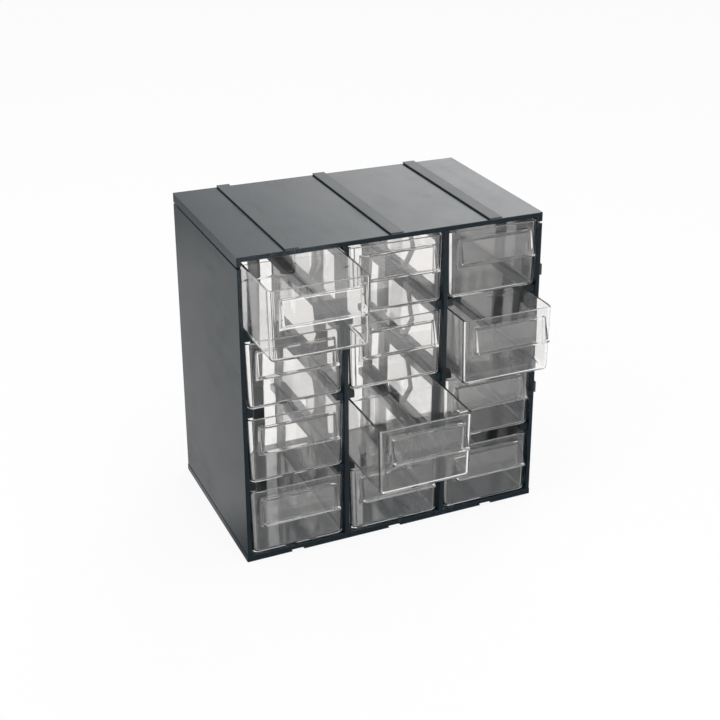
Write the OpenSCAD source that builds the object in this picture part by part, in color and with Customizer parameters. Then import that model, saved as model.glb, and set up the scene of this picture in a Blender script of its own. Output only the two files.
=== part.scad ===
// Parts bin cabinet: a moulded carcass of nine panels and straps that holds twelve clear drawers.
// The origin is the middle of the base, on the surface that it stands on. The front faces -Y.

/* [Carcass] */
// Width of one drawer column, and the pitch of the stacking rails
column_w = 74; // [62:1:110]
// Height from the base of one drawer to the base of the next
row_pitch = 55.3; // [44:0.1:90]
// Height between the rim of one drawer and the base of the one above
row_gap = 7; // [5:0.1:11]
// Depth of the carcass from front edge to back edge
body_d = 141; // [110:1:220]
// Thickness of the two side panels
side_t = 3; // [2.4:0.1:4]
// Thickness of the two dividers
divider_t = 3.2; // [2.4:0.1:4.4]
// Thickness of the top panel
top_t = 3.4; // [2.8:0.1:6]
// Thickness of the bottom panel
base_t = 4.5; // [3.4:0.1:8]
// Height of the top panel's edge where it turns down over the sides
skirt_h = 6.7; // [5.5:0.1:12]
// How far the bottom panel stands out past each side
base_lip = 0.3; // [0:0.1:1]
// Space between the rims of the top drawers and the top panel
head_gap = 2; // [1:0.1:6]

/* [Runner ledges] */
// How far a runner ledge reaches into a drawer's cell
ledge_w = 5; // [3:0.1:8]
// How far a ledge's front end lies behind the front edge
ledge_setback = 2; // [0.5:0.1:10]
// Running clearance between a drawer and what it slides on or beside
run_gap = 0.3; // [0.2:0.05:0.5]
// Clearance over a drawer's rim, which stops it tipping when it is open
tip_gap = 1.1; // [0.6:0.1:2]

/* [Divider windows] */
// Width of a divider's front post
front_post_w = 14; // [8:0.5:24]
// Width of a divider's rear post
rear_post_w = 12; // [8:0.5:24]
// Height of a window's sill over the base of its drawer
window_sill = 2.5; // [1:0.1:8]
// Distance from a window's head down from the rim of its drawer
window_head = 9; // [5:0.1:14]
// Width of the bent strut that stands in each window, along the depth
strut_w = 5.4; // [3:0.1:9]
// Thickness of the strut, which is thinner than its divider
strut_t = 1.6; // [1.2:0.1:2.4]
// Distance from the front post to the strut's bend
strut_setback = 35; // [12:0.5:45]
// How far the strut's foot lies behind its bend
strut_rake = 14; // [0:0.5:18]
// How far the strut's head lies behind its bend
strut_lean = 7; // [0:0.5:18]
// Height of the strut's bend over the window's sill
strut_bend_h = 18.5; // [10:0.5:26]

/* [Back straps] */
// Distance of the outer back straps from the middle one
strap_x = 53.5; // [44:0.5:66]
// Width of a back strap
strap_w = 9; // [6:0.5:16]
// Thickness of a back strap
strap_t = 3; // [2:0.1:4]

/* [Stacking rails] */
// Width of a top rail across its crown
rail_w = 10; // [7:0.1:14]
// Width of a side rail across its crown
side_rail_w = 9; // [7:0.1:12]
// Height of a rail over its panel
rail_h = 1.3; // [1:0.1:1.8]
// How far a rail's flanks are cut under at each side
rail_undercut = 0.9; // [0.4:0.1:1.5]
// Clearance between a rail and the groove that slides over it
rail_gap = 0.2; // [0.1:0.05:0.5]
// Height of the lower side rail's centre over the base
side_rail_low_z = 89.4; // [60:0.1:110]
// Height of the upper side rail's centre over the base
side_rail_high_z = 181.6; // [140:0.1:200]

/* [Panel joints] */
// Depth of the slots that take the dividers, the straps and the sides' tongues
slot_d = 1.2; // [0.8:0.1:1.6]
// Thickness of the tongues on the edges of the side panels
tongue_t = 1.2; // [0.8:0.1:1.6]
// Clearance round a tongue or a panel's edge in its slot
slot_gap = 0.1; // [0.05:0.05:0.2]

/* [Drawers] */
// Thickness of a drawer's walls
wall_t = 1.6; // [1.2:0.1:2.4]
// Thickness of a drawer's floor
floor_t = 1.6; // [1.2:0.1:2.4]
// How much narrower each side and the back are at the base than at the rim
draft = 1; // [0.2:0.1:2]
// Radius of the two upright corners at the front
front_corner_r = 4; // [2.5:0.1:7]
// Radius of the two upright corners at the back
back_corner_r = 3; // [2.5:0.1:7]
// Radius of the edges round the base
base_edge_r = 3; // [2.5:0.1:5]
// Space between the back of a closed drawer and the back straps
back_gap = 1.5; // [0.5:0.1:10]

/* [Label front] */
// Height of the plain strip between the rim and the label panel
rim_strip_h = 5.6; // [3:0.1:9]
// Width of the label panel at its upper edge
label_w = 55; // [40:0.5:56]
// Width of the label panel at its lip
lip_w = 56.5; // [41:0.5:57]
// How far the label panel's upper edge stands out
label_proud = 2.5; // [2:0.1:4]
// How far the lip stands out
lip_proud = 8.5; // [7.5:0.1:11]
// Height of the lip over the base of its drawer
lip_z = 25.7; // [21:0.1:28]
// Depth of the shelf behind the lip's edge, where a label stands
shelf_d = 2; // [1:0.1:2.5]
// Thickness of the lip
lip_t = 1.6; // [1:0.1:2.4]
// Thickness of the label panel and of the cheeks at its ends
panel_t = 1.5; // [1:0.1:1.8]
// Height of the cheeks under the lip
cheek_drop = 4.5; // [2:0.1:8]

/* [Drawers pulled out] */
// How far the top left drawer stands out
open_top_left = 48; // [0:1:100]
// How far the right drawer of the second row stands out
open_second_right = 25; // [0:1:100]
// How far the middle drawer of the third row stands out
open_third_middle = 50; // [0:1:100]

/* [Hidden] */
rows = 4;
columns = 3;

body_w = columns * column_w;
first_base_z = base_t + run_gap;
drawer_h = row_pitch - row_gap;
body_h = first_base_z + rows * row_pitch - row_gap + head_gap + top_t;
front_y = -body_d / 2;
back_y = body_d / 2;
divider_x = column_w / 2;
ledge_h = row_gap - run_gap - tip_gap;

// The outer cells are the narrower ones, so they set the width of every drawer.
outer_cell_w = column_w - side_t - divider_t / 2;
outer_cell_x = body_w / 2 - side_t - outer_cell_w / 2;
drawer_w = outer_cell_w - 2 * run_gap;
drawer_l = body_d - strap_t - back_gap;

rail_centres = [-column_w, 0, column_w];
side_rail_centres = [side_rail_low_z, side_rail_high_z];
strap_centres = [-strap_x, 0, strap_x];
arc_steps = 6;     // straight pieces in a rounded corner
half_turn = 180;   // degrees
seat = 0.5;        // how deep a rail, ledge or label panel is rooted in its wall
past = 1;          // how far a cut runs past the face that it opens

plastic_black = [0.15, 0.17, 0.18];
plastic_clear = [0.82, 0.86, 0.88, 0.45];

function drawer_name(row, column) = str("drawer_r", row, "c", column);
function drawer_z(row) = first_base_z + (rows - row) * row_pitch;
function drawer_x(column) = (column - 2) * outer_cell_x;
function sill_z(row) = drawer_z(row) + window_sill;
function head_z(row) = drawer_z(row) + drawer_h - window_head;
function pulled_out(row, column) =
    row == 1 && column == 1 ? open_top_left :
    row == 2 && column == 3 ? open_second_right :
    row == 3 && column == 2 ? open_third_middle : 0;

function unit(v) = v / norm(v);

// The points of a corner at b, between a and c, rounded to radius r
function rounded_corner(a, b, c, r) =
    let (
        towards_a = unit(a - b),
        towards_c = unit(c - b),
        half_angle = acos(towards_a * towards_c) / 2,
        centre = b + unit(towards_a + towards_c) * r / sin(half_angle),
        from = b + towards_a * r / tan(half_angle) - centre,
        to = b + towards_c * r / tan(half_angle) - centre,
        start = atan2(from[1], from[0]),
        turn = (atan2(to[1], to[0]) - start + 3 * half_turn) % (2 * half_turn) - half_turn
    )
    r <= 0 ? [b] :
    [for (i = [0 : arc_steps])
        centre + r * [cos(start + turn * i / arc_steps), sin(start + turn * i / arc_steps)]];

// An outline with each of its corners rounded to its own radius
function rounded_outline(points, radii) =
    let (count = len(points))
    [for (i = [0 : count - 1])
        each rounded_corner(
            points[(i + count - 1) % count], points[i], points[(i + 1) % count], radii[i]
        )];

// An XZ outline carried along Y
module along_y(y0, y1) {
    translate([0, y1, 0]) rotate([90, 0, 0]) linear_extrude(y1 - y0) children();
}

// A YZ outline carried along X
module along_x(x0, x1) {
    translate([x0, 0, 0]) rotate([90, 0, 90]) linear_extrude(x1 - x0) children();
}

module block(low, high) {
    translate(low) cube(high - low);
}

// Cross-section of a stacking rail, standing on y = 0 and rooted below it
module rail_outline(crown_w) {
    foot = crown_w / 2 - rail_undercut;
    polygon([
        [-foot, -seat], [foot, -seat], [foot, 0],
        [crown_w / 2, rail_h], [-crown_w / 2, rail_h], [-foot, 0]
    ]);
}

// Cross-section of the groove that a rail slides in, cut upwards from y = 0
module groove_outline(crown_w) {
    mouth = crown_w / 2 - rail_undercut + rail_gap;
    inner = crown_w / 2 + rail_gap;
    polygon([
        [-mouth, -past], [mouth, -past], [mouth, 0],
        [inner, rail_h + rail_gap], [-inner, rail_h + rail_gap], [-mouth, 0]
    ]);
}

// The slots that the dividers, the back straps and the sides' tongues seat in,
// as cuts that reach slot_d past the plane z = 0 in the direction of reach
module panel_slots(reach) {
    low_z = reach > 0 ? -past : -slot_d;
    high_z = reach > 0 ? slot_d : past;
    for (x = [-divider_x, divider_x])
        translate([x, 0, 0])
            block([-divider_t / 2 - slot_gap, front_y - past, low_z],
                  [divider_t / 2 + slot_gap, back_y + past, high_z]);
    for (x = strap_centres)
        translate([x, 0, 0])
            block([-strap_w / 2 - slot_gap, back_y - strap_t - slot_gap, low_z],
                  [strap_w / 2 + slot_gap, back_y + past, high_z]);
}

module tongue_slots(z0, z1) {
    for (side = [-1, 1])
        translate([side * (body_w - side_t) / 2, 0, 0])
            block([-tongue_t / 2 - slot_gap, front_y + side_t, z0],
                  [tongue_t / 2 + slot_gap, back_y - side_t, z1]);
}

module top_panel() {
    underside = body_h - top_t;
    seam_z = body_h - skirt_h;
    color(plastic_black)
    union() {
        difference() {
            block([-body_w / 2, front_y, seam_z], [body_w / 2, back_y, body_h]);
            block([-body_w / 2 + side_t, front_y - past, seam_z - past],
                  [body_w / 2 - side_t, back_y + past, underside]);
            translate([0, 0, underside]) panel_slots(1);
            tongue_slots(seam_z - past, seam_z + slot_d);
        }
        for (x = rail_centres)
            translate([x, 0, body_h]) along_y(front_y, back_y) rail_outline(rail_w);
    }
}

module bottom_panel() {
    color(plastic_black)
    difference() {
        block([-body_w / 2 - base_lip, front_y, 0], [body_w / 2 + base_lip, back_y, base_t]);
        for (x = rail_centres)
            translate([x, 0, 0]) along_y(front_y - past, back_y + past) groove_outline(rail_w);
        translate([0, 0, base_t]) panel_slots(-1);
        tongue_slots(base_t - slot_d, base_t + past);
    }
}

// The runner ledges of one panel face: they reach from x = 0 towards +X
module ledges() {
    for (row = [1 : rows - 1])
        block([-seat, front_y + ledge_setback, drawer_z(row) - run_gap - ledge_h],
              [ledge_w, back_y - strap_t, drawer_z(row) - run_gap]);
}

// A side panel whose inner face looks towards +X from x = 0
module side_panel() {
    seam_z = body_h - skirt_h;
    union() {
        block([-side_t, front_y, base_t], [0, back_y, seam_z]);
        block([-(side_t + tongue_t) / 2, front_y + side_t + slot_gap, base_t - slot_d + slot_gap],
              [-(side_t - tongue_t) / 2, back_y - side_t - slot_gap, seam_z + slot_d - slot_gap]);
        ledges();
    }
}

module left_side_panel() {
    color(plastic_black)
    translate([-body_w / 2 + side_t, 0, 0]) side_panel();
}

module right_side_panel() {
    color(plastic_black)
    union() {
        mirror([1, 0, 0]) translate([-body_w / 2 + side_t, 0, 0]) side_panel();
        for (z = side_rail_centres)
            translate([body_w / 2, 0, z]) rotate([0, 90, 0])
                along_y(front_y, back_y) rail_outline(side_rail_w);
    }
}

module window_outline(row) {
    translate([front_y + front_post_w, sill_z(row)])
        square([body_d - front_post_w - rear_post_w, head_z(row) - sill_z(row)]);
}

// The strut of one window rises from its foot to a bend that points to the front, and
// leans back again to the window's head.
module strut_outline(row) {
    bend_y = front_y + front_post_w + strut_setback;
    foot_y = bend_y + strut_rake;
    head_y = bend_y + strut_lean;
    bend_z = sill_z(row) + strut_bend_h;
    polygon([
        [foot_y, sill_z(row) - seat], [foot_y + strut_w, sill_z(row) - seat],
        [bend_y + strut_w, bend_z], [head_y + strut_w, head_z(row) + seat],
        [head_y, head_z(row) + seat], [bend_y, bend_z]
    ]);
}

// A divider is a frame with a window and a strut beside each drawer and ledges on both faces.
module divider() {
    color(plastic_black)
    union() {
        difference() {
            block([-divider_t / 2, front_y, base_t - slot_d + slot_gap],
                  [divider_t / 2, back_y, body_h - top_t + slot_d - slot_gap]);
            for (row = [1 : rows])
                along_x(-divider_t / 2 - past, divider_t / 2 + past) window_outline(row);
        }
        for (row = [1 : rows])
            along_x(-strut_t / 2, strut_t / 2) strut_outline(row);
        for (side = [0, 1])
            mirror([side, 0, 0]) translate([divider_t / 2, 0, 0]) ledges();
    }
}

module divider_left() {
    translate([-divider_x, 0, 0]) divider();
}

module divider_right() {
    translate([divider_x, 0, 0]) divider();
}

module back_strap(x) {
    color(plastic_black)
    block([x - strap_w / 2, back_y - strap_t, base_t - slot_d + slot_gap],
          [x + strap_w / 2, back_y, body_h - top_t + slot_d - slot_gap]);
}

module back_strap_left() {
    back_strap(-strap_x);
}

module back_strap_middle() {
    back_strap(0);
}

module back_strap_right() {
    back_strap(strap_x);
}

// The shape that three outlines share: the front view with its drafted sides, the side
// view with its drafted back, and the plan with its rounded corners. With an inset it is
// the space inside, and top_z is where it ends.
module drawer_form(inset, base_z, top_z) {
    lean = draft / drawer_h;
    half_top = drawer_w / 2 - inset - lean * (drawer_h - top_z);
    half_base = drawer_w / 2 - inset - lean * (drawer_h - base_z);
    back_top = drawer_l - inset - lean * (drawer_h - top_z);
    back_base = drawer_l - inset - lean * (drawer_h - base_z);
    edge_r = base_edge_r - inset;
    front_view = rounded_outline(
        [[-half_base, base_z], [half_base, base_z], [half_top, top_z], [-half_top, top_z]],
        [edge_r, edge_r, 0, 0]
    );
    side_view = rounded_outline(
        [[inset, base_z], [back_base, base_z], [back_top, top_z], [inset, top_z]],
        [edge_r, edge_r, 0, 0]
    );
    plan = rounded_outline(
        [[-half_top, inset], [half_top, inset], [half_top, back_top], [-half_top, back_top]],
        [front_corner_r - inset, front_corner_r - inset,
         back_corner_r - inset, back_corner_r - inset]
    );
    intersection() {
        along_y(-past, drawer_l + past) polygon(front_view);
        along_x(-drawer_w, drawer_w) polygon(side_view);
        translate([0, 0, base_z - past]) linear_extrude(top_z - base_z + 2 * past) polygon(plan);
    }
}

// The label panel leans out from under the rim strip to a lip with a shelf for a label.
// Cheeks close its ends, and it is hollow and open below, where fingers pull the drawer.
module label_front() {
    top_z = drawer_h - rim_strip_h;
    lip_top_z = lip_z + lip_t;
    slope_foot = lip_proud - shelf_d;
    lean = (slope_foot - label_proud) / (top_z - lip_top_z);
    hollow_top_z = top_z - panel_t;
    hollow_top_y = label_proud + lean * panel_t - panel_t;
    hollow_foot_y = slope_foot + lean * lip_t - panel_t;
    cheek_outline = [
        [seat, top_z], [-label_proud, top_z], [-slope_foot, lip_top_z], [-lip_proud, lip_top_z],
        [-lip_proud, lip_z], [0, lip_z - cheek_drop], [seat, lip_z - cheek_drop]
    ];
    hollow_outline = [
        [0, hollow_top_z], [-hollow_top_y, hollow_top_z], [-hollow_foot_y, lip_z],
        [-lip_proud - past, lip_z], [-lip_proud - past, lip_z - cheek_drop - past],
        [0, lip_z - cheek_drop - past]
    ];
    intersection() {
        difference() {
            along_x(-lip_w, lip_w) polygon(cheek_outline);
            along_x(-label_w / 2 + panel_t, label_w / 2 - panel_t) polygon(hollow_outline);
        }
        along_y(-lip_proud - past, seat + past)
            polygon([
                [-label_w / 2, top_z + past], [-lip_w / 2, lip_top_z],
                [-lip_w / 2, lip_z - cheek_drop - past], [lip_w / 2, lip_z - cheek_drop - past],
                [lip_w / 2, lip_top_z], [label_w / 2, top_z + past]
            ]);
    }
}

// One drawer, with the middle of its front's lower edge at the origin
module drawer() {
    color(plastic_clear)
    union() {
        difference() {
            drawer_form(0, 0, drawer_h);
            drawer_form(wall_t, floor_t, drawer_h + past);
        }
        label_front();
    }
}

module drawer_in_place(row, column) {
    translate([drawer_x(column), front_y - pulled_out(row, column), drawer_z(row)]) drawer();
}

top_panel();
bottom_panel();
left_side_panel();
right_side_panel();
divider_left();
divider_right();
back_strap_left();
back_strap_middle();
back_strap_right();
for (row = [1 : rows])
    for (column = [1 : columns])
        drawer_in_place(row, column);
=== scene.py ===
import bpy
import bmesh
import math
from mathutils import Matrix, Vector


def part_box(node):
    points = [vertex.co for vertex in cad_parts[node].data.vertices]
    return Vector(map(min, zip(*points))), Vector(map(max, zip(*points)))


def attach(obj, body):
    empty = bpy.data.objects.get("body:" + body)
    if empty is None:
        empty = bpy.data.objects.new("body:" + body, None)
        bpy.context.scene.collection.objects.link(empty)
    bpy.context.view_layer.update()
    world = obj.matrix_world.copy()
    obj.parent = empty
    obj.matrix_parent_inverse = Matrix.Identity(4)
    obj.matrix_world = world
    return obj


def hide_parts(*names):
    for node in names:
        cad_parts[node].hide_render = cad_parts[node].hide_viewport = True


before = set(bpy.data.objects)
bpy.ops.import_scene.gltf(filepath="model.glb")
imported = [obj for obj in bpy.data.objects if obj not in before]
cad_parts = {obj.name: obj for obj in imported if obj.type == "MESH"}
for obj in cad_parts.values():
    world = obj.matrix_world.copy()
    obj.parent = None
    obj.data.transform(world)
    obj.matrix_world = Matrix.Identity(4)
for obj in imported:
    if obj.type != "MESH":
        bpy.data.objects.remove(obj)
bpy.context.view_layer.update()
mm = 0.001
weldDistance = 0.001 * mm
rows = range(1, 5)             # row 1 is the top one
columns = range(1, 4)          # column 1 is on the left


# Small helpers for objects and meshes

smoothing = {"faceWeight": 80, "panelAngle": 50, "drawerAngle": 35}      # angles in degrees


def addObject(name, data):
    made = bpy.data.objects.new(name, data)
    bpy.context.collection.objects.link(made)
    return made


def evaluatedMesh(source):
    graph = bpy.context.evaluated_depsgraph_get()
    return bpy.data.meshes.new_from_object(source.evaluated_get(graph), depsgraph=graph).copy()


def dropObject(unwanted):
    bpy.data.objects.remove(unwanted, do_unlink=True)


def smoothMesh(source, name, sharpAngle):
    mesh = source.data
    mesh.shade_smooth()
    mesh.set_sharp_from_angle(angle=math.radians(sharpAngle))
    weighted = source.modifiers.new("weighted", "WEIGHTED_NORMAL")
    weighted.keep_sharp = True
    weighted.weight = smoothing["faceWeight"]
    finished = evaluatedMesh(source)
    dropObject(source)
    finished.name = name
    return addObject(name, finished)


# The photograph's view, solved from the cabinet's corners

cameraView = {
    "place": (-0.3566, -0.8375, 0.5342),
    "turn": 26.43,            # degrees to the right of straight ahead
    "tilt": 22.36,            # degrees down from level
    "roll": 1.06,             # degrees
    "focalPixels": 1365.5,
    "centrePixel": (430, 288),
    "pictureSide": 720,
}


def makeCamera(view):
    turn, tilt, roll = (math.radians(view[key]) for key in ("turn", "tilt", "roll"))
    ahead = Vector((math.sin(turn) * math.cos(tilt), math.cos(turn) * math.cos(tilt), -math.sin(tilt)))
    level = ahead.cross(Vector((0, 0, 1))).normalized()
    upright = level.cross(ahead)
    right = level * math.cos(roll) + upright * math.sin(roll)
    up = upright * math.cos(roll) - level * math.sin(roll)
    lens = bpy.data.cameras.new("photoCamera")
    side = view["pictureSide"]
    lens.lens = view["focalPixels"] / side * lens.sensor_width
    lens.shift_x = 0.5 - view["centrePixel"][0] / side
    lens.shift_y = view["centrePixel"][1] / side - 0.5
    camera = addObject("photoCamera", lens)
    turned = Matrix((right, up, -ahead)).transposed().to_4x4()
    camera.matrix_world = Matrix.Translation(view["place"]) @ turned
    bpy.context.scene.camera = camera


makeCamera(cameraView)
print("camera ready")


# Small helpers for node trees

white = (1, 1, 1, 1)


def addNode(tree, kind, **settings):
    made = tree.nodes.new(kind)
    for key, value in settings.items():
        setattr(made, key, value)
    return made


def joinNodes(tree, *pairs):
    for fromSocket, toSocket in pairs:
        tree.links.new(fromSocket, toSocket)


def setInputs(node, **values):
    for key, value in values.items():
        node.inputs[key.replace("_", " ")].default_value = value
    return node


def mathNode(tree, operation, first, second):
    made = addNode(tree, "ShaderNodeMath", operation=operation)
    for socket, value in zip(made.inputs, (first, second)):
        if isinstance(value, (int, float)):
            socket.default_value = value
        else:
            tree.links.new(value, socket)
    return made.outputs[0]


def ramp(tree, value, span, low, high, kind="SMOOTHSTEP"):
    made = addNode(tree, "ShaderNodeMapRange", interpolation_type=kind)
    setInputs(made, From_Min=span[0], From_Max=span[1], To_Min=low, To_Max=high)
    tree.links.new(value, made.inputs["Value"])
    return made.outputs["Result"]


def noise(tree, place, scale, detail, roughness):
    made = setInputs(addNode(tree, "ShaderNodeTexNoise"), Scale=scale, Detail=detail, Roughness=roughness)
    tree.links.new(place, made.inputs["Vector"])
    return made.outputs["Fac"]


def bumpNormal(tree, height, strength, depth):
    made = setInputs(addNode(tree, "ShaderNodeBump"), Strength=strength, Distance=depth)
    tree.links.new(height, made.inputs["Height"])
    return made.outputs[0]


def mixShaders(tree, share, first, second):
    made = addNode(tree, "ShaderNodeMixShader")
    joinNodes(tree, (share, made.inputs[0]), (first, made.inputs[1]), (second, made.inputs[2]))
    return made.outputs[0]


def startMaterial(name):
    material = bpy.data.materials.new(name)
    material.use_nodes = True
    material.node_tree.nodes.clear()
    return material, material.node_tree


# White surroundings, a pale floor that glows with a painted reflection, and large soft lamps

studio = {
    "floorSide": 8.0,
    "floorColour": (0.95, 0.95, 0.95, 1),
    "floorGlow": 0.88,        # share of plain white in what the eye sees of the floor
    "paintedGlowFront": 0.3,     # painted glow of the floor that only reflections see, well in front of the cabinet
    "paintedShadeNear": 0.2,      # painted glow close in front of it, darker there as painted shade of the cabinet
    "paintedGlowBack": 0.56,     # painted glow behind it, lighter there as painted light
    "paintedGlowFar": 0.3,       # share of that painted glow a long way off
    "paintedGlowInside": 0.35,   # painted highlight added straight behind the open back, which the inner walls show
    "insideEdge": (-0.11, -0.04),       # the floor's fades run over metres across,
    "frontFade": (-0.5, -0.1),          # along,
    "backRise": (-0.06, 0.02),
    "farFade": (0.5, 0.75),             # and away from the middle
    "frontLight": 0.8,        # how bright the room is in front of the cabinet
    "backLight": 0.52,        # and behind it
    "windowLight": 1.6,       # extra light of a soft window behind and to the right
    "roomFade": (-0.9, 0.5),            # the room's fades run over directions, from -1 to 1, along
    "windowDepth": (0.1, 0.5),
    "windowRise": (0.19, 0.5),          # and across
    "windowFall": (0.65, 0.9),
}
lamps = {
    "roofPanel": {"at": (-0.1, -0.2, 1.7), "aim": (0, 0, 0.1), "size": 1.0, "watts": 7},
    "leftPanel": {"at": (-1.6, -0.4, 0.9), "aim": (0, 0, 0.1), "size": 1.2, "watts": 6},
    "frontPanel": {"at": (0.3, -1.6, 1.3), "aim": (0, 0, 0.1), "size": 0.9, "watts": 2.5},
}


def seenDirectly(tree):        # by the eye, or through clear plastic
    path = addNode(tree, "ShaderNodeLightPath")
    return mathNode(tree, "MAXIMUM", path.outputs["Is Camera Ray"], path.outputs["Is Transmission Ray"])


def seenMirrored(tree):        # a refracted ray can count as glossy too
    path = addNode(tree, "ShaderNodeLightPath")
    return mathNode(tree, "GREATER_THAN", path.outputs["Is Glossy Ray"], path.outputs["Is Transmission Ray"])


def makeWorld(room):
    world = bpy.data.worlds.new("studioRoom")
    bpy.context.scene.world = world
    world.use_nodes = True
    tree = world.node_tree
    tree.nodes.clear()
    place = addNode(tree, "ShaderNodeTexCoord")
    split = addNode(tree, "ShaderNodeSeparateXYZ")
    tree.links.new(place.outputs["Generated"], split.inputs[0])
    across, along = split.outputs["X"], split.outputs["Y"]
    shade = ramp(tree, along, room["roomFade"], room["frontLight"], room["backLight"])
    window = mathNode(tree, "MULTIPLY", ramp(tree, across, room["windowRise"], 0, room["windowLight"]),
                      ramp(tree, across, room["windowFall"], 1, 0))
    window = mathNode(tree, "MULTIPLY", window, ramp(tree, along, room["windowDepth"], 0, 1))
    lit = setInputs(addNode(tree, "ShaderNodeBackground"), Color=white)
    plain = setInputs(addNode(tree, "ShaderNodeBackground"), Color=white, Strength=1.0)
    out = addNode(tree, "ShaderNodeOutputWorld")
    joinNodes(tree, (mathNode(tree, "ADD", shade, window), lit.inputs["Strength"]),
              (mixShaders(tree, seenDirectly(tree), lit.outputs[0], plain.outputs[0]), out.inputs["Surface"]))


def makeFloor(room):
    half = room["floorSide"] / 2
    corners = [(-half, -half, 0), (half, -half, 0), (half, half, 0), (-half, half, 0)]
    mesh = bpy.data.meshes.new("studioFloor")
    mesh.from_pydata(corners, [], [(0, 1, 2, 3)])
    floor = addObject("studioFloor", mesh)
    material, tree = startMaterial("paleFloor")
    place = addNode(tree, "ShaderNodeTexCoord").outputs["Object"]
    split = addNode(tree, "ShaderNodeSeparateXYZ")
    distance = addNode(tree, "ShaderNodeVectorMath", operation="LENGTH")
    joinNodes(tree, (place, split.inputs[0]), (place, distance.inputs[0]))
    across, along = split.outputs["X"], split.outputs["Y"]
    # Reflections see the floor as a painted glow: darker close in front of the cabinet as painted shade,
    # lighter behind it and behind the open back as painted light.
    front = ramp(tree, along, room["frontFade"], room["paintedGlowFront"], room["paintedShadeNear"])
    back = ramp(tree, along, room["backRise"], 0, room["paintedGlowBack"] - room["paintedShadeNear"])
    far = ramp(tree, distance.outputs["Value"], room["farFade"], 1, room["paintedGlowFar"])
    inside = mathNode(tree, "MULTIPLY", ramp(tree, across, room["insideEdge"], 0, room["paintedGlowInside"]),
                      ramp(tree, along, room["backRise"], 0, 1))
    behind = mathNode(tree, "ADD", mathNode(tree, "MULTIPLY", back, far), inside)
    matt = setInputs(addNode(tree, "ShaderNodeBsdfDiffuse"), Color=room["floorColour"])
    glow = setInputs(addNode(tree, "ShaderNodeEmission"), Color=white, Strength=1.0)
    # Emission seen only by reflections: a painted reflection of a lit and shaded floor.
    paintedReflection = setInputs(addNode(tree, "ShaderNodeEmission"), Color=white)
    tree.links.new(mathNode(tree, "ADD", behind, front), paintedReflection.inputs["Strength"])
    seen = mathNode(tree, "MULTIPLY", seenDirectly(tree), room["floorGlow"])
    surface = mixShaders(tree, seen, matt.outputs[0], glow.outputs[0])
    surface = mixShaders(tree, seenMirrored(tree), surface, paintedReflection.outputs[0])
    out = addNode(tree, "ShaderNodeOutputMaterial")
    tree.links.new(surface, out.inputs["Surface"])
    mesh.materials.append(material)


def makeLamps(wanted):
    for name, lamp in wanted.items():
        light = bpy.data.lights.new(name, "AREA")
        light.shape = "SQUARE"
        light.size = lamp["size"]
        light.energy = lamp["watts"]
        made = addObject(name, light)
        towards = Vector(lamp["aim"]) - Vector(lamp["at"])
        made.location = lamp["at"]
        made.rotation_euler = towards.to_track_quat("-Z", "Y").to_euler()


makeWorld(studio)
makeFloor(studio)
makeLamps(lamps)
bpy.context.scene.view_settings.view_transform = "Standard"
print("studio ready")


# Finishes: three of black plastic and a clear one

blackPlastic = {
    "dark": (0.005, 0.013, 0.019, 1),
    "light": (0.009, 0.021, 0.029, 1),
    "ior": 1.5,
    "roughness": (0.16, 0.3),
    "smudgeSpan": (0.15, 0.4),
    "cloudScale": 9.0,
    "scuffScale": 3.0,
    "scuffStretch": (24, 9, 24),
    "grainScale": 2400,
    "grainDepth": 0.004 * mm,
    "grainStrength": 0.5,
}
innerPlastic = {**blackPlastic, "roughness": (0.42, 0.5)}
railPlastic = {
    **blackPlastic,
    "dark": (0.05, 0.058, 0.063, 1),
    "light": (0.07, 0.079, 0.084, 1),
    "roughness": (0.4, 0.46),
    "grainScale": 1500,
    "grainDepth": 0.01 * mm,
}
clearPlastic = {
    "tint": (1.0, 0.995, 0.99, 1),
    "clearness": 0.99,        # the rest is a faint milky scatter
    "ior": 1.59,
    "specular": 1.0,
    "roughness": (0.0, 0.008),
    "hazeSpan": (0.45, 0.75),
    "hazeScale": 55.0,
    "rippleScale": 26.0,
    "rippleDepth": 0.02 * mm,
    "rippleStrength": 0.6,
    "shadowTint": (0.86, 0.87, 0.875, 1),
    "deepTint": (1, 0.997, 0.994, 1),
    "deepRay": 5.5,           # bounces after which light goes straight on, so that many walls don't go black
}


def makeBlackPlastic(name, look):
    material, tree = startMaterial(name)
    place = addNode(tree, "ShaderNodeTexCoord").outputs["Object"]
    stretched = setInputs(addNode(tree, "ShaderNodeMapping"), Scale=look["scuffStretch"])
    tree.links.new(place, stretched.inputs["Vector"])
    cloud = noise(tree, place, look["cloudScale"], detail=4.0, roughness=0.6)
    scuff = noise(tree, stretched.outputs[0], look["scuffScale"], detail=5.0, roughness=0.6)
    grain = noise(tree, place, look["grainScale"], detail=2.0, roughness=0.5)
    tone = addNode(tree, "ShaderNodeMix", data_type="RGBA")
    tone.inputs[6].default_value = look["dark"]      # sockets 6 and 7 are its colours, output 2 the mix
    tone.inputs[7].default_value = look["light"]
    smudge = mathNode(tree, "MULTIPLY", cloud, scuff)
    rough = ramp(tree, smudge, look["smudgeSpan"], *look["roughness"], kind="LINEAR")
    shader = setInputs(addNode(tree, "ShaderNodeBsdfPrincipled"), IOR=look["ior"])
    out = addNode(tree, "ShaderNodeOutputMaterial")
    grained = bumpNormal(tree, grain, look["grainStrength"], look["grainDepth"])
    joinNodes(tree, (cloud, tone.inputs["Factor"]), (tone.outputs[2], shader.inputs["Base Color"]),
              (rough, shader.inputs["Roughness"]), (grained, shader.inputs["Normal"]),
              (shader.outputs[0], out.inputs["Surface"]))
    return material


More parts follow.
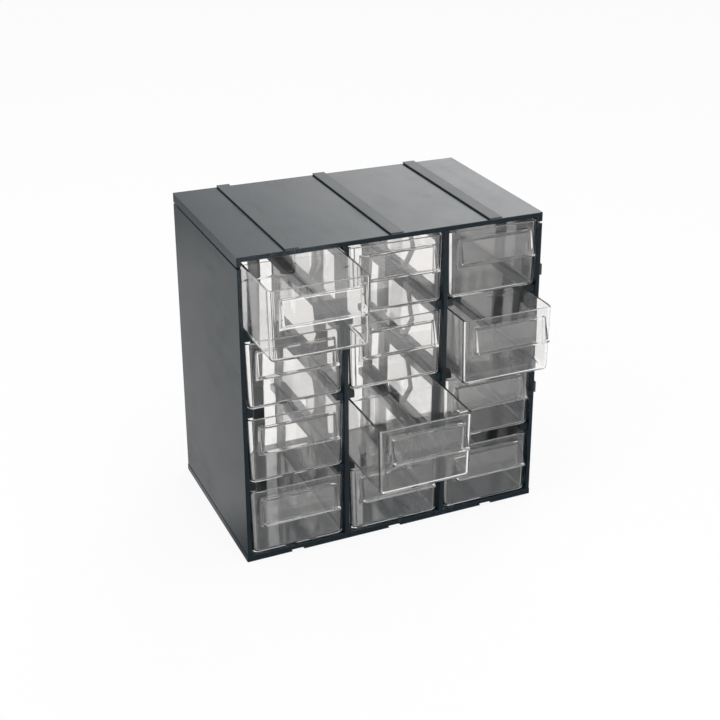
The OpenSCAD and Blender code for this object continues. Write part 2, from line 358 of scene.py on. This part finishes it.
def makeClearPlastic(look):
    material, tree = startMaterial("clearMouldedPlastic")
    place = addNode(tree, "ShaderNodeTexCoord").outputs["Object"]
    path = addNode(tree, "ShaderNodeLightPath")
    haze = noise(tree, place, look["hazeScale"], detail=6.0, roughness=0.7)
    ripple = noise(tree, place, look["rippleScale"], detail=2.0, roughness=0.4)
    rough = ramp(tree, haze, look["hazeSpan"], *look["roughness"], kind="LINEAR")
    shader = setInputs(addNode(tree, "ShaderNodeBsdfPrincipled"), Base_Color=look["tint"], IOR=look["ior"],
                       Transmission_Weight=look["clearness"], Specular_IOR_Level=look["specular"])
    shadow = setInputs(addNode(tree, "ShaderNodeBsdfTransparent"), Color=look["shadowTint"])
    straight = setInputs(addNode(tree, "ShaderNodeBsdfTransparent"), Color=look["deepTint"])
    deep = mathNode(tree, "GREATER_THAN", path.outputs["Ray Depth"], look["deepRay"])
    surface = mixShaders(tree, deep, shader.outputs[0], straight.outputs[0])
    surface = mixShaders(tree, path.outputs["Is Shadow Ray"], surface, shadow.outputs[0])
    out = addNode(tree, "ShaderNodeOutputMaterial")
    waves = bumpNormal(tree, ripple, look["rippleStrength"], look["rippleDepth"])
    joinNodes(tree, (rough, shader.inputs["Roughness"]), (waves, shader.inputs["Normal"]),
              (surface, out.inputs["Surface"]))
    return material


blackMaterial = makeBlackPlastic("blackMouldedPlastic", blackPlastic)
innerMaterial = makeBlackPlastic("mattBlackPlastic", innerPlastic)
railMaterial = makeBlackPlastic("stippledBlackPlastic", railPlastic)
clearMaterial = makeClearPlastic(clearPlastic)
print("materials ready")


# Carcass panels: flat outlines given a thickness and rounded edges

panelLook = {
    "edgeRadius": 0.45 * mm,
    "edgeSteps": 2,
    "sideThickness": 3 * mm,
    "topThickness": 3.4 * mm,
    "seamGap": 1.3 * mm,       # groove under the top panel's turned-down edge
    "seamDepth": 2.4 * mm,
    "seamRoot": 3 * mm,
}
stackingRails = {              # on the top, and as grooves in the base
    "centres": [-74 * mm, 0, 74 * mm],
    "crown": 10 * mm,
    "undercut": 0.9 * mm,
    "height": 1.3 * mm,
    "clearance": 0.2 * mm,
    "rooted": 0.3 * mm,
    "edge": 0.25 * mm,
}
planes = {                     # for each direction of thickness, where an outline's two axes go
    "x": Matrix(((0, 0, 1, 0), (1, 0, 0, 0), (0, 1, 0, 0), (0, 0, 0, 1))),
    "y": Matrix(((1, 0, 0, 0), (0, 0, -1, 0), (0, 1, 0, 0), (0, 0, 0, 1))),
}


def rectangle(u0, v0, u1, v1):
    return [(u0, v0), (u1, v0), (u1, v1), (u0, v1)]


def plateMesh(name, outlines, direction, low, high, edge=panelLook["edgeRadius"]):
    curve = bpy.data.curves.new(name, "CURVE")
    curve.dimensions = "2D"
    curve.fill_mode = "BOTH"
    curve.extrude = (high - low) / 2 - edge
    curve.bevel_depth = edge
    curve.bevel_resolution = panelLook["edgeSteps"]
    curve.offset = -edge
    for outline in outlines:
        spline = curve.splines.new("POLY")
        spline.points.add(len(outline) - 1)
        for point, (u, v) in zip(spline.points, outline):
            point.co = (u, v, 0, 1)
        spline.use_cyclic_u = True
    drawn = addObject(name + "Outline", curve)
    mesh = evaluatedMesh(drawn)
    dropObject(drawn)
    along = Vector([(low + high) / 2 if axis == direction else 0 for axis in "xyz"])
    mesh.transform(Matrix.Translation(along) @ planes[direction])
    shape = bmesh.new()
    shape.from_mesh(mesh)
    bmesh.ops.remove_doubles(shape, verts=shape.verts, dist=weldDistance)
    bmesh.ops.dissolve_degenerate(shape, edges=shape.edges, dist=weldDistance)
    shape.to_mesh(mesh)
    shape.free()
    return mesh


def blackPiece(name, meshes, *nodes, finish=blackMaterial):
    shape = bmesh.new()
    for mesh in meshes:
        shape.from_mesh(mesh)
    bmesh.ops.recalc_face_normals(shape, faces=shape.faces)
    joined = bpy.data.meshes.new(name)
    shape.to_mesh(joined)
    shape.free()
    piece = smoothMesh(addObject(name, joined), name, smoothing["panelAngle"])
    piece.data.materials.append(finish)
    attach(piece, "carcass")
    if nodes:
        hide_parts(*nodes)


def makeTopPanel():
    low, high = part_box("top_panel")
    crown = high.z - stackingRails["height"]
    underside = crown - panelLook["topThickness"]
    wall = panelLook["sideThickness"]
    outline = [(low.x, low.z), (low.x + wall, low.z), (low.x + wall, underside), (high.x - wall, underside),
               (high.x - wall, low.z), (high.x, low.z), (high.x, crown), (low.x, crown)]
    blackPiece("topPanel", [plateMesh("topPanel", [outline], "y", low.y, high.y)], "top_panel")


def makeBottomPanel():
    low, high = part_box("bottom_panel")
    rails = stackingRails
    mouth = rails["crown"] / 2 - rails["undercut"] + rails["clearance"]
    inner = rails["crown"] / 2 + rails["clearance"]
    deep = low.z + rails["height"] + rails["clearance"]
    outline = [(low.x, low.z)]
    for x in rails["centres"]:
        outline += [(x - mouth, low.z), (x - inner, deep), (x + inner, deep), (x + mouth, low.z)]
    outline += [(high.x, low.z), (high.x, high.z), (low.x, high.z)]
    plate = plateMesh("bottomPanel", [outline], "y", low.y, high.y, rails["edge"])
    blackPiece("bottomPanel", [plate], "bottom_panel")


def makeSidePanels():
    look = panelLook
    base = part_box("bottom_panel")[1].z
    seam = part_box("top_panel")[0].z
    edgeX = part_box("top_panel")[1].x
    low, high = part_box("left_side_panel")
    face = rectangle(low.y, base, high.y, seam - look["seamGap"])
    tongue = rectangle(low.y + look["seamDepth"], seam - look["seamRoot"], high.y - look["seamDepth"], seam)
    for word, side in (("left", -1), ("right", 1)):
        name = word + "SidePanel"
        outer, recessed = side * edgeX, side * (edgeX - look["seamDepth"])
        inner = side * (edgeX - look["sideThickness"])
        plates = [plateMesh(name, [face], "x", min(outer, inner), max(outer, inner)),
                  plateMesh(name + "Tongue", [tongue], "x", min(recessed, inner), max(recessed, inner))]
        blackPiece(name, plates, word + "_side_panel")


# Dividers: open frames with a thin bent strut in each window

dividerFrame = {
    "thickness": 3.2 * mm,
    "frontPost": 14 * mm,
    "rearPost": 12 * mm,
    "sill": 2.5 * mm,          # over a drawer's base
    "head": 9 * mm,            # below a drawer's rim
    "strutWidth": 5.4 * mm,
    "strutThickness": 1.6 * mm,
    "strutSetback": 35 * mm,   # from the front post to the bend
    "strutRake": 14 * mm,      # from the bend back to the foot
    "strutLean": 7 * mm,       # from the bend back to the head
    "strutBend": 18.5 * mm,    # over the sill
    "rooted": 0.8 * mm,
}


def windowHeights(row):
    base, rim = (corner.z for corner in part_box(f"drawer_r{row}c1"))
    return base + dividerFrame["sill"], rim - dividerFrame["head"]


def frameOutlines(low, high):
    front, rear = low.y + dividerFrame["frontPost"], high.y - dividerFrame["rearPost"]
    windows = [rectangle(front, sill, rear, head) for sill, head in map(windowHeights, rows)]
    return [rectangle(low.y, low.z, high.y, high.z)] + windows


def strutOutline(low, row):
    look = dividerFrame
    sill, head = windowHeights(row)
    bend = low.y + look["frontPost"] + look["strutSetback"]
    foot, crown, width = bend + look["strutRake"], bend + look["strutLean"], look["strutWidth"]
    bottom, middle, top = sill - look["rooted"], sill + look["strutBend"], head + look["rooted"]
    return [(foot, bottom), (foot + width, bottom), (bend + width, middle),
            (crown + width, top), (crown, top), (bend, middle)]


def makeDividers():
    half = dividerFrame["thickness"] / 2
    halfStrut = dividerFrame["strutThickness"] / 2
    for word in ("left", "right"):
        name, node = word + "Divider", "divider_" + word
        low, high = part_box(node)
        middle = (low.x + high.x) / 2
        plates = [plateMesh(name, frameOutlines(low, high), "x", middle - half, middle + half)]
        for row in rows:
            outline = strutOutline(low, row)
            plates.append(plateMesh(name + "Strut", [outline], "x", middle - halfStrut, middle + halfStrut))
        blackPiece(name, plates, node, finish=innerMaterial)


def makeBackStraps():
    for word in ("left", "middle", "right"):
        node = f"back_strap_{word}"
        low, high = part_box(node)
        plate = plateMesh(node, [rectangle(low.x, low.z, high.x, high.z)], "y", low.y, high.y)
        blackPiece(f"{word}BackStrap", [plate], node)


# Rails and runner ledges: one bar pulled along the depth and repeated

sideRails = {"crown": 9 * mm, "heights": (89.4 * mm, 181.6 * mm)}
runnerLedges = {
    "reach": 5 * mm,           # out of its wall
    "height": 5.6 * mm,
    "clearance": 0.3 * mm,     # below the drawer that stands on it
    "setback": 2 * mm,         # behind the side panel's front edge
    "rooted": 0.3 * mm,
    "edge": 0.3 * mm,
}
quarterTurn = math.radians(90)
alongDepth = Matrix.Rotation(quarterTurn, 4, "X")
facingRight = Matrix.Rotation(quarterTurn, 4, "Y") @ alongDepth
stackedUp = Matrix.Rotation(-quarterTurn, 4, "Y") @ alongDepth


def makeBarTree():
    tree = bpy.data.node_groups.new("repeatedBars", "GeometryNodeTree")
    face = tree.interface
    for name in ("Foot Width", "Crown Width", "Height", "Edge Radius", "Length", "Spacing"):
        face.new_socket(name, in_out="INPUT", socket_type="NodeSocketFloat")
    face.new_socket("Count", in_out="INPUT", socket_type="NodeSocketInt")
    face.new_socket("Finish", in_out="INPUT", socket_type="NodeSocketMaterial")
    face.new_socket("Geometry", in_out="OUTPUT", socket_type="NodeSocketGeometry")
    start, end = addNode(tree, "NodeGroupInput"), addNode(tree, "NodeGroupOutput")
    profile = addNode(tree, "GeometryNodeCurvePrimitiveQuadrilateral", mode="TRAPEZOID")
    profile.inputs["Offset"].default_value = 0
    rounded = addNode(tree, "GeometryNodeFilletCurve", mode="POLY")
    filled = addNode(tree, "GeometryNodeFillCurve", mode="NGONS")
    pulled = addNode(tree, "GeometryNodeExtrudeMesh", mode="FACES")
    pulled.inputs["Individual"].default_value = False
    flipped = addNode(tree, "GeometryNodeFlipFaces")
    closed = addNode(tree, "GeometryNodeJoinGeometry")
    welded = addNode(tree, "GeometryNodeMergeByDistance")
    welded.inputs["Distance"].default_value = weldDistance
    row = addNode(tree, "GeometryNodeMeshLine")
    step = addNode(tree, "ShaderNodeCombineXYZ")
    depth = addNode(tree, "ShaderNodeCombineXYZ")
    copies = addNode(tree, "GeometryNodeInstanceOnPoints")
    real = addNode(tree, "GeometryNodeRealizeInstances")
    finish = addNode(tree, "GeometryNodeSetMaterial")
    joinNodes(tree, (start.outputs["Foot Width"], profile.inputs["Bottom Width"]),
              (start.outputs["Crown Width"], profile.inputs["Top Width"]),
              (start.outputs["Height"], profile.inputs["Height"]),
              (profile.outputs[0], rounded.inputs["Curve"]),
              (start.outputs["Edge Radius"], rounded.inputs["Radius"]),
              (rounded.outputs[0], filled.inputs["Curve"]),
              (filled.outputs[0], pulled.inputs["Mesh"]),
              (start.outputs["Length"], depth.inputs["Z"]),
              (depth.outputs[0], pulled.inputs["Offset"]),
              (filled.outputs[0], flipped.inputs["Mesh"]),
              (flipped.outputs[0], closed.inputs[0]),
              (pulled.outputs["Mesh"], closed.inputs[0]),
              (closed.outputs[0], welded.inputs["Geometry"]),
              (start.outputs["Count"], row.inputs["Count"]),
              (start.outputs["Spacing"], step.inputs["X"]),
              (step.outputs[0], row.inputs["Offset"]),
              (row.outputs[0], copies.inputs["Points"]),
              (welded.outputs[0], copies.inputs["Instance"]),
              (copies.outputs[0], real.inputs["Geometry"]),
              (real.outputs[0], finish.inputs["Geometry"]),
              (start.outputs["Finish"], finish.inputs["Material"]),
              (finish.outputs[0], end.inputs["Geometry"]))
    return tree


def growTree(name, tree, values):
    grown = addObject(name, bpy.data.meshes.new(name))
    modifier = grown.modifiers.new("grow", "NODES")
    modifier.node_group = tree
    for item in tree.interface.items_tree:
        if item.in_out == "INPUT" and item.name in values:
            modifier[item.identifier] = values[item.name]
    mesh = evaluatedMesh(grown)
    dropObject(grown)
    return mesh


def placeBars(name, tree, turned, place, values):
    mesh = growTree(name, tree, values)
    mesh.transform(Matrix.Translation(place) @ turned)
    return mesh


def railValues(crown, count, spacing, length):
    rails = stackingRails
    return {"Crown Width": crown, "Foot Width": crown - 2 * rails["undercut"],
            "Height": rails["height"] + rails["rooted"], "Edge Radius": rails["edge"],
            "Length": length, "Count": count, "Spacing": spacing, "Finish": railMaterial}


def makeStackingRails(tree):
    low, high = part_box("top_panel")
    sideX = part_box("right_side_panel")[1].x
    depth = high.y - low.y
    sunk = (stackingRails["height"] + stackingRails["rooted"]) / 2
    centres = stackingRails["centres"]
    topValues = railValues(stackingRails["crown"], len(centres), centres[1] - centres[0], depth)
    top = placeBars("topRails", tree, alongDepth, (centres[0], high.y, high.z - sunk), topValues)
    lower, upper = sideRails["heights"]
    sideValues = railValues(sideRails["crown"], len(sideRails["heights"]), upper - lower, depth)
    side = placeBars("sideRails", tree, facingRight, (sideX - sunk, high.y, upper), sideValues)
    blackPiece("stackingRails", [top, side], finish=railMaterial)


def makeRunnerLedges(tree):
    ledge = runnerLedges
    low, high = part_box("left_side_panel")
    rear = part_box("back_strap_left")[0].y
    lowest, second = (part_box(f"drawer_r{row}c1")[0].z for row in (3, 2))
    middleZ = lowest - ledge["clearance"] - ledge["height"] / 2
    half = dividerFrame["thickness"] / 2
    inner = high.x - ledge["reach"]
    walls = [(inner, 1)]       # a place across, and the side it faces
    for node in ("divider_left", "divider_right"):
        leftX, rightX = (corner.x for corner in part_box(node))
        middle = (leftX + rightX) / 2
        walls += [(middle - half, -1), (middle + half, 1)]
    walls.append((-inner, -1))
    values = {"Count": len(rows) - 1, "Spacing": second - lowest, "Edge Radius": ledge["edge"],
              "Foot Width": ledge["height"], "Crown Width": ledge["height"],
              "Height": ledge["reach"] + ledge["rooted"], "Length": rear - low.y - ledge["setback"],
              "Finish": innerMaterial}
    made = []
    for wall, side in walls:
        middleX = wall + side * (ledge["reach"] - ledge["rooted"]) / 2
        made.append(placeBars("ledges", tree, stackedUp, (middleX, rear, middleZ), values))
    blackPiece("runnerLedges", made, finish=innerMaterial)


barTree = makeBarTree()
makeTopPanel()
makeBottomPanel()
makeSidePanels()
makeDividers()
makeBackStraps()
makeStackingRails(barTree)
makeRunnerLedges(barTree)
print("carcass ready")


# Drawers: a thin drafted cup with a hollow label front

drawerCup = {
    "length": 136.5 * mm,
    "wall": 1.6 * mm,
    "floor": 1.6 * mm,
    "draft": 1.0 * mm,         # how much narrower the base is than the rim, at each side and at the back
    "frontCorner": 4 * mm,
    "backCorner": 3 * mm,
    "leastCorner": 0.4 * mm,   # what is left of a corner where it meets the base
    "baseEdge": 3 * mm,
    "rimRound": 0.5 * mm,
    "cornerSteps": 10,
    "edgeSteps": 6,
}
labelFront = {
    "rimStrip": 5.6 * mm,      # plain strip between the drawer's rim and the label front
    "upperWidth": 55 * mm,
    "lipWidth": 56.5 * mm,
    "upperProud": 2.5 * mm,    # how far its top stands out
    "lipBase": 25.7 * mm,      # over the drawer's base
    "shelf": 2 * mm,
    "lip": 1.6 * mm,
    "panel": 1.5 * mm,
    "cheekDrop": 4.5 * mm,     # how far its sides reach below the lip
    "rooted": 0.5 * mm,
    "edge": 0.3 * mm,
    "edgeSteps": 2,
    "cutBeyond": 3 * mm,       # how far the hollow's cut runs past the label front
}


def arcPoints(centre, radius, start, end, steps):
    angles = [math.radians(start + (end - start) * step / steps) for step in range(steps + 1)]
    return [(centre[0] + radius * math.cos(angle), centre[1] + radius * math.sin(angle)) for angle in angles]


def cupRing(halfWidth, front, back, frontRadius, backRadius, z):
    corners = ((1, front, 1, frontRadius, -90), (1, back, -1, backRadius, 0),
               (-1, back, -1, backRadius, 90), (-1, front, 1, frontRadius, 180))
    points = []
    for side, y, inward, radius, start in corners:
        centre = (side * (halfWidth - radius), y + inward * radius)
        points += arcPoints(centre, radius, start, start + 90, drawerCup["cornerSteps"])
    return [(x, y, z) for x, y in points]


def cupSections(height):       # (inset, height) pairs, up the outside and down again inside
    wall, floor, rim, edge = (drawerCup[key] for key in ("wall", "floor", "rimRound", "baseEdge"))
    steps, innerEdge = drawerCup["edgeSteps"], edge - wall
    return (arcPoints((edge, edge), edge, 270, 180, steps)
            + arcPoints((rim, height - rim), rim, 180, 90, steps)
            + arcPoints((wall - rim, height - rim), rim, 90, 0, steps)
            + arcPoints((wall + innerEdge, floor + innerEdge), innerEdge, 180, 270, steps))


def makeCup(width, height):
    cup = drawerCup
    shape = bmesh.new()
    rings = []
    for inset, z in cupSections(height):
        drawn = cup["draft"] * (height - z) / height
        corners = [max(cup[key] - inset, cup["leastCorner"]) for key in ("frontCorner", "backCorner")]
        points = cupRing(width / 2 - drawn - inset, inset, cup["length"] - drawn - inset, *corners, z)
        rings.append([shape.verts.new(point) for point in points])
    count = len(rings[0])
    for lower, upper in zip(rings, rings[1:]):
        for index in range(count):
            after = (index + 1) % count
            shape.faces.new((lower[index], lower[after], upper[after], upper[index]))
    shape.faces.new(reversed(rings[0]))
    shape.faces.new(rings[-1])
    mesh = bpy.data.meshes.new("cup")
    shape.to_mesh(mesh)
    shape.free()
    return addObject("cup", mesh)


def makePrism(name, outline, halfWidths, edge=0.0):
    shape = bmesh.new()
    left = [shape.verts.new((-half, y, z)) for (y, z), half in zip(outline, halfWidths)]
    right = [shape.verts.new((half, y, z)) for (y, z), half in zip(outline, halfWidths)]
    count = len(outline)
    for index in range(count):
        after = (index + 1) % count
        shape.faces.new((left[index], left[after], right[after], right[index]))
    shape.faces.new(reversed(left))
    shape.faces.new(right)
    bmesh.ops.recalc_face_normals(shape, faces=shape.faces)
    if edge:
        bmesh.ops.bevel(shape, geom=shape.edges[:], offset=edge, segments=labelFront["edgeSteps"],
                        profile=0.5, affect="EDGES", clamp_overlap=True)
    mesh = bpy.data.meshes.new(name)
    shape.to_mesh(mesh)
    shape.free()
    return addObject(name, mesh)


def cutOrAdd(body, tool, operation):
    boolean = body.modifiers.new("boolean", "BOOLEAN")
    boolean.operation = operation
    boolean.solver = "EXACT"
    boolean.object = tool
    mesh = evaluatedMesh(body)
    dropObject(body)
    dropObject(tool)
    return addObject(mesh.name, mesh)


def makeLabelFront(height, lipProud):
    label = labelFront
    top, bottom = height - label["rimStrip"], label["lipBase"] - label["cheekDrop"]
    lipBase, lipTop = label["lipBase"], label["lipBase"] + label["lip"]
    rooted, upperProud, panel = label["rooted"], label["upperProud"], label["panel"]
    slopeFoot = lipProud - label["shelf"]
    lean = (slopeFoot - upperProud) / (top - lipTop)
    outline = [(rooted, top), (-upperProud, top), (-slopeFoot, lipTop), (-lipProud, lipTop),
               (-lipProud, lipBase), (0, bottom), (rooted, bottom)]
    widening = (label["upperWidth"] - label["lipWidth"]) / (top - bottom)
    widths = [(label["lipWidth"] + widening * (z - bottom)) / 2 for y, z in outline]
    solid = makePrism("labelFront", outline, widths, label["edge"])
    topDepth = upperProud + lean * panel - panel
    footDepth = slopeFoot + lean * label["lip"] - panel
    beyond = label["cutBeyond"]
    hollow = [(rooted + beyond, top - panel), (-topDepth, top - panel), (-footDepth, lipBase),
              (-lipProud - beyond, lipBase), (-lipProud - beyond, bottom - beyond),
              (rooted + beyond, bottom - beyond)]
    inside = label["upperWidth"] / 2 - panel
    return cutOrAdd(solid, makePrism("labelHollow", hollow, [inside] * len(hollow)), "DIFFERENCE")


def makeDrawerMaster():
    low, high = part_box("drawer_r1c2")
    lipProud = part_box("left_side_panel")[0].y - low.y
    height = high.z - low.z
    cup = makeCup(high.x - low.x, height)
    master = cutOrAdd(cup, makeLabelFront(height, lipProud), "UNION")
    return smoothMesh(master, "drawerMaster", smoothing["drawerAngle"])


def makePlaceTree():
    tree = bpy.data.node_groups.new("placedDrawer", "GeometryNodeTree")
    face = tree.interface
    face.new_socket("Drawer", in_out="INPUT", socket_type="NodeSocketObject")
    for name in ("Across", "Back", "Up"):
        face.new_socket(name, in_out="INPUT", socket_type="NodeSocketFloat")
    face.new_socket("Finish", in_out="INPUT", socket_type="NodeSocketMaterial")
    face.new_socket("Geometry", in_out="OUTPUT", socket_type="NodeSocketGeometry")
    start, end = addNode(tree, "NodeGroupInput"), addNode(tree, "NodeGroupOutput")
    master = addNode(tree, "GeometryNodeObjectInfo")
    place = addNode(tree, "ShaderNodeCombineXYZ")
    moved = addNode(tree, "GeometryNodeTransform")
    real = addNode(tree, "GeometryNodeRealizeInstances")
    finish = addNode(tree, "GeometryNodeSetMaterial")
    joinNodes(tree, (start.outputs["Drawer"], master.inputs["Object"]),
              (start.outputs["Across"], place.inputs["X"]),
              (start.outputs["Back"], place.inputs["Y"]),
              (start.outputs["Up"], place.inputs["Z"]),
              (master.outputs["Geometry"], moved.inputs["Geometry"]),
              (place.outputs[0], moved.inputs["Translation"]),
              (moved.outputs[0], real.inputs["Geometry"]),
              (real.outputs[0], finish.inputs["Geometry"]),
              (start.outputs["Finish"], finish.inputs["Material"]),
              (finish.outputs[0], end.inputs["Geometry"]))
    return tree


def makeDrawers():
    master = makeDrawerMaster()
    tree = makePlaceTree()
    for row in rows:
        for column in columns:
            node, name = f"drawer_r{row}c{column}", f"clearDrawer_r{row}c{column}"
            low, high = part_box(node)
            mesh = growTree(name, tree, {
                "Drawer": master, "Across": (low.x + high.x) / 2, "Back": high.y - drawerCup["length"],
                "Up": low.z, "Finish": clearMaterial})
            piece = addObject(name, mesh)
            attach(piece, node)
            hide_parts(node)
    dropObject(master)


makeDrawers()
print("drawers ready")
